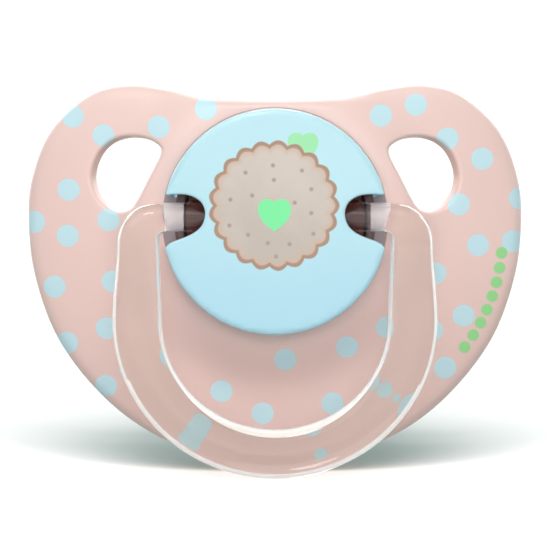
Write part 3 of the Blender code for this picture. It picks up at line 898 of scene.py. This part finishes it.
def make_cap_printed():
    nodes = Nodes("cap_printed")
    x, z = nodes.front_place()
    across = nodes.math("SUBTRACT", x, BISCUIT_CENTRE[0])
    up = nodes.math("SUBTRACT", z, BISCUIT_CENTRE[1])
    radius = nodes.math("SQRT", nodes.math(
        "ADD", nodes.math("MULTIPLY", across, across), nodes.math("MULTIPLY", up, up)))
    turns = nodes.math("MULTIPLY", nodes.math("ARCTAN2", up, across), 0.5 * BISCUIT_SCALLOPS)
    lobes = nodes.math("ABSOLUTE", nodes.math("COSINE", turns))
    lobes = nodes.math("MULTIPLY", lobes, BISCUIT_SCALLOP_DEPTH)
    edge = nodes.math("ADD", lobes, BISCUIT_RADIUS - BISCUIT_SCALLOP_DEPTH)
    past = nodes.math("SUBTRACT", radius, edge)
    whole = nodes.within(past, 0.0, PRINT_SOFT)
    line = nodes.ramp(past, -BISCUIT_LINE - 0.1, -BISCUIT_LINE + 0.1)
    biscuit = nodes.mix(line, biscuit_dough(nodes, x, z, up, past), BISCUIT_BROWN)
    pale_heart = nodes.heart(x, z, PALE_HEART, PALE_HEART_SIZE)
    behind = nodes.mix(pale_heart, blue_with_painted_shade(nodes), HEART_PALE)
    heart = nodes.heart(x, z, HEART, HEART_SIZE)
    nodes.colour(nodes.mix(heart, nodes.mix(whole, behind, biscuit), HEART_GREEN))
    moulded_finish(nodes, 0.2, 0.03, 0.4)
    return nodes.material


def make_cap_plain():
    nodes = Nodes("cap_plain")
    nodes.colour(blue_with_painted_shade(nodes))
    moulded_finish(nodes, 0.3, 0.04, 0.2)
    return nodes.material


# Plastic coloured dark as painted shade, for the seat and the plug inside the cap.
def make_painted_shade_plastic(name, colour, deep, roughness):
    nodes = Nodes(name)
    nodes.colour(nodes.mix(nodes.cloud(70.0), colour, deep))
    moulded_finish(nodes, roughness, 0.05, 0.0)
    nodes.set(Specular_IOR_Level=0.2)
    return nodes.material


def make_silicone():
    nodes = Nodes("teat_silicone")
    nodes.colour(nodes.mix(nodes.cloud(60.0), SILICONE, SILICONE_DEEP))
    nodes.link(nodes.cloud(90.0, 2.0, 0.28, 0.34), nodes.shader.inputs["Roughness"])
    nodes.bump(nodes.noise(180.0, 1.0), 0.05)
    nodes.set(
        Subsurface_Weight=0.35, Subsurface_Radius=(1.0, 0.9, 0.75), Subsurface_Scale=2.0 * MM,
        IOR=SILICONE_IOR)
    return nodes.material


def make_clear(name, colour, roughness, clearness, coat):
    """Clear plastic that lets light through to what lies behind it."""
    nodes = Nodes(name)
    gloss = nodes.cloud(120.0, 2.0, roughness, roughness + 0.025)
    nodes.link(gloss, nodes.shader.inputs["Roughness"])
    nodes.colour(colour)
    nodes.bump(nodes.noise(120.0, 1.0), 0.02)
    nodes.set(
        Transmission_Weight=clearness, IOR=PLASTIC_IOR,
        Coat_Weight=coat, Coat_Roughness=0.2, Coat_IOR=2.0)
    through = nodes.node("ShaderNodeBsdfTransparent")
    through.inputs["Color"].default_value = CLEAR_SHADE
    path = nodes.node("ShaderNodeLightPath")
    mix = nodes.node("ShaderNodeMixShader")
    nodes.link(path.outputs["Is Shadow Ray"], mix.inputs[0])
    nodes.link(nodes.shader.outputs[0], mix.inputs[1])
    nodes.link(through.outputs[0], mix.inputs[2])
    nodes.link(mix.outputs[0], nodes.output.inputs["Surface"])
    return nodes.material


def make_floor():
    nodes = Nodes("floor_white")
    nodes.colour(nodes.mix(nodes.cloud(3.0), FLOOR, FLOOR_PALE))
    nodes.set(Roughness=0.9, Specular_IOR_Level=0.0)
    return nodes.material


# ---------------------------------------------------------------- studio


STAGE_FRONT_Y = -3000.0
STAGE_BEND_Y = 1500.0
STAGE_BEND_RADIUS = 500.0
STAGE_TOP = 2500.0
STAGE_HALF_WIDTH = 3000.0
FLOOR_GAP = 0.05


def build_stage(material):
    """A pale floor just below the ring, which sweeps up behind into a wall."""
    floor_z = RING_LOW[2] - FLOOR_GAP
    line = [(STAGE_FRONT_Y, 0.0), (STAGE_BEND_Y, 0.0)]
    for degrees in range(5, 91, 5):
        angle = math.radians(degrees)
        line.append((
            STAGE_BEND_Y + STAGE_BEND_RADIUS * math.sin(angle),
            STAGE_BEND_RADIUS * (1.0 - math.cos(angle))))
    line.append((STAGE_BEND_Y + STAGE_BEND_RADIUS, STAGE_TOP))
    vertices = []
    for y, up in line:
        vertices += [(side * STAGE_HALF_WIDTH, y, floor_z + up) for side in (-1.0, 1.0)]
    faces = [(2 * i, 2 * i + 1, 2 * i + 3, 2 * i + 2) for i in range(len(line) - 1)]
    floor = add_piece("studio_floor", vertices, faces, [material])
    floor.visible_diffuse = False
    return floor


def collection_of(name, objects):
    collection = bpy.data.collections.new(name)
    for obj in objects:
        collection.objects.link(obj)
    return collection


def add_sun(name, towards, power, spread_deg, colour, only=None):
    """A distant soft light, seen from the object in the direction towards; it may light only some."""
    data = bpy.data.lights.new(name, "SUN")
    data.energy = power
    data.angle = math.radians(spread_deg)
    data.color = colour
    light = bpy.data.objects.new(name, data)
    light.rotation_euler = Vector(towards).to_track_quat("Z", "Y").to_euler()
    bpy.context.scene.collection.objects.link(light)
    if only:
        light.light_linking.receiver_collection = collection_of("lit_by_" + name, only)
    return light


WARM = (1.0, 0.955, 0.95)
WARMER = (1.0, 0.935, 0.91)
ROSE = (1.0, 0.84, 0.86)


def build_suns(floor, ring, others):
    """Suns on the object from the front, above and behind, and one that keeps the floor white."""
    add_sun("key", (-0.25, -0.75, 0.8), 0.68, 55.0, WARM)
    add_sun("sparkle", (-0.2, -0.75, 0.75), 0.35, 14.0, WARM)
    add_sun("top", (0.0, 0.2, 1.0), 0.14, 50.0, WARM)
    front = add_sun("front", (0.05, -1.0, 0.12), 1.47, 30.0, WARM)
    edges = add_sun("ring_edges", (0.15, -1.0, 0.0), 2.0, 30.0, WARM, [ring])
    for light in (front, edges):
        light.visible_glossy = False
        light.visible_transmission = False
    back = add_sun("back", (0.3, 0.95, 0.1), 1.15, 45.0, WARMER, [ring] + others)
    back.visible_transmission = False
    # The wall stands between this sun and the object, so only the object casts its shadows.
    back.light_linking.blocker_collection = back.light_linking.receiver_collection
    add_sun("floor_wash", (0.0, -1.0, 0.32), 18.5, 24.0, ROSE, [floor])


SKY_LOW = rgb(0.21, 0.25, 0.24)
SKY_HIGH = rgb(0.56, 0.68, 0.655)
SKY_MIRRORED = rgb(0.8, 0.8, 0.8)
SKY_SEEN = rgb(1.0, 1.0, 1.0)


def build_sky():
    """A pale green-grey sky that lights the object, and that gloss and clear plastic see as white."""
    world = bpy.data.worlds.new("studio")
    world.use_nodes = True
    nodes = world.node_tree.nodes
    links = world.node_tree.links

    def mix(share, first, second):
        made = nodes.new("ShaderNodeMix")
        made.data_type = "RGBA"
        links.new(share, made.inputs["Factor"])
        for source, socket in ((first, made.inputs[6]), (second, made.inputs[7])):
            if isinstance(source, tuple):
                socket.default_value = source
            else:
                links.new(source, socket)
        return made.outputs[2]

    place = nodes.new("ShaderNodeTexCoord")
    split = nodes.new("ShaderNodeSeparateXYZ")
    links.new(place.outputs["Generated"], split.inputs[0])
    rise = nodes.new("ShaderNodeMapRange")
    rise.inputs["From Min"].default_value = -0.5
    rise.inputs["From Max"].default_value = 0.7
    links.new(split.outputs["Z"], rise.inputs["Value"])
    path = nodes.new("ShaderNodeLightPath")
    sky = mix(rise.outputs["Result"], SKY_LOW, SKY_HIGH)
    seen = mix(path.outputs["Is Glossy Ray"], SKY_SEEN, SKY_MIRRORED)
    links.new(mix(path.outputs["Is Diffuse Ray"], seen, sky), nodes["Background"].inputs["Color"])
    bpy.context.scene.world = world
    bpy.context.scene.view_settings.view_transform = "Standard"


CAMERA_DISTANCE = 1000.0
CAMERA_ELEVATION = 2.5
VIEW_WIDTH = 53.4
VIEW_CENTRE_BELOW_CAP = 5.07
AIM_Y = -2.0


def build_camera():
    """A long lens in front, a little above, with the cap's middle above the picture's middle."""
    tilt = math.radians(CAMERA_ELEVATION)
    cap_height = CAP_FRONT_Y * math.sin(tilt)
    aim_z = (cap_height - VIEW_CENTRE_BELOW_CAP - AIM_Y * math.sin(tilt)) / math.cos(tilt)
    aim = Vector((0.0, AIM_Y, aim_z))
    data = bpy.data.cameras.new("camera")
    data.sensor_width = 36.0
    data.lens = data.sensor_width * CAMERA_DISTANCE / VIEW_WIDTH
    data.clip_start = 0.01
    data.clip_end = 20.0
    camera = bpy.data.objects.new("camera", data)
    camera.location = (aim + Vector((0.0, -math.cos(tilt), math.sin(tilt))) * CAMERA_DISTANCE) * MM
    camera.rotation_euler = (math.radians(90.0) - tilt, 0.0, 0.0)
    bpy.context.scene.collection.objects.link(camera)
    bpy.context.scene.camera = camera


# ---------------------------------------------------------------- assembly


def mount(piece, body, node):
    """Lets a shown piece ride on a body in place of one CAD node."""
    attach(piece, body)
    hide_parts(node)


def main():
    build_camera()
    floor = build_stage(make_floor())
    # The seat's dark colour is painted shade inside the cap.
    seat_painted_shade = make_painted_shade_plastic("shield_seat_painted_shade", SEAT_PAINTED_SHADE, SEAT_PAINTED_SHADE_DEEP, 0.42)
    shield = build_shield(make_shield_printed(), make_shield_plain(), seat_painted_shade)
    mount(shield, ROOT_BODY, "shield")
    cap = build_cap(make_cap_printed(), make_cap_plain())
    mount(cap, ROOT_BODY, "front_cap")
    teat = build_teat(make_silicone())
    mount(teat, ROOT_BODY, "teat")
    clear = make_clear("ring_clear", CLEAR, 0.015, 1.0, 0.0)
    # White corners: a painted highlight along the ring's edges.
    corner_highlight = make_clear("ring_corner_painted_highlight", rgb(1.0, 1.0, 1.0), 0.25, 0.4, 1.0)
    # Pale pink cuffs: painted light where the stubs show the lit shield.
    cuff_painted_light = make_clear("ring_cuff_painted_light", CUFF_PAINTED_LIGHT, 0.12, 0.72, 0.0)
    ring = build_ring(clear, corner_highlight, cuff_painted_light)
    mount(ring, RING_BODY, "ring")
    # The plug is coloured near-black red as painted shade inside the cap.
    plug = frame["nodes"]["teat_plug"]
    plug.data.materials.clear()
    plug.data.materials.append(make_painted_shade_plastic("plug_painted_shade", PLUG_PAINTED_SHADE, PLUG_PAINTED_SHADE_DEEP, 0.45))
    build_suns(floor, ring, [shield, cap, teat, plug])
    build_sky()


main()
